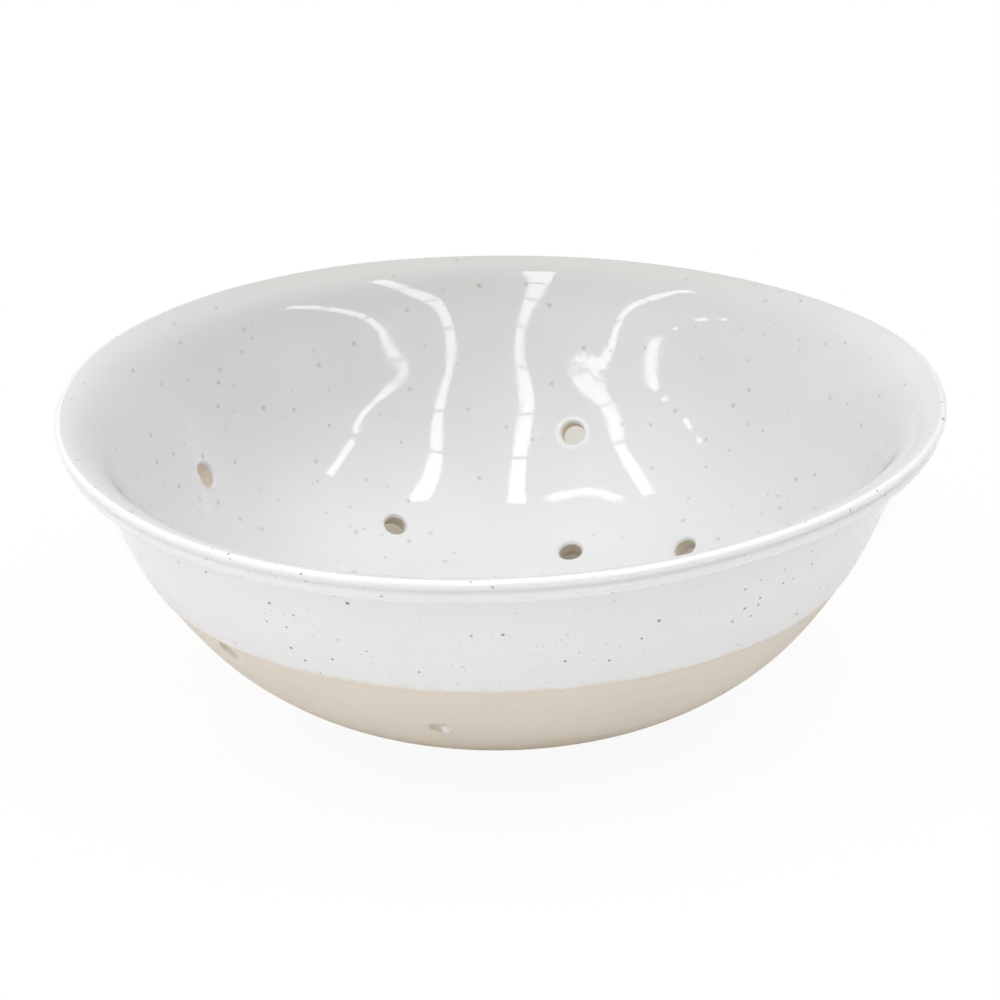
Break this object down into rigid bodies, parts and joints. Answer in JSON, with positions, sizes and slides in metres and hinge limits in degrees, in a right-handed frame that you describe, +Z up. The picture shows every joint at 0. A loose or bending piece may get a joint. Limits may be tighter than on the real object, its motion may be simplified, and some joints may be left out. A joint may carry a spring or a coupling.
{
  "type": "berry colander bowl",
  "caption": "Round stoneware berry bowl with a flared double-beaded rim and drain holes; speckled white glaze inside and on the upper outside, bare clay below, low foot ring.",
  "frame": {"origin": "centre of the foot ring's tread, on the table under the middle of the bowl", "axes": "+Z up along the bowl's axis; -Y is the side towards the viewer of the picture, +X is to that viewer's right"},
  "size_m": [0.25, 0.25, 0.09],
  "materials": {
    "bare_stoneware": "matte unglazed stoneware with a fine grain",
    "inside_glaze": "glossy white glaze with soft grey-brown specks",
    "outside_glaze": "satin-gloss white glaze with sharp dark specks and pin-points"
  },
  "bodies": {
    "root": {"clay_body": "bare_stoneware", "inside_glaze": "inside_glaze", "outside_glaze": "outside_glaze"}
  },
  "joints": []
}
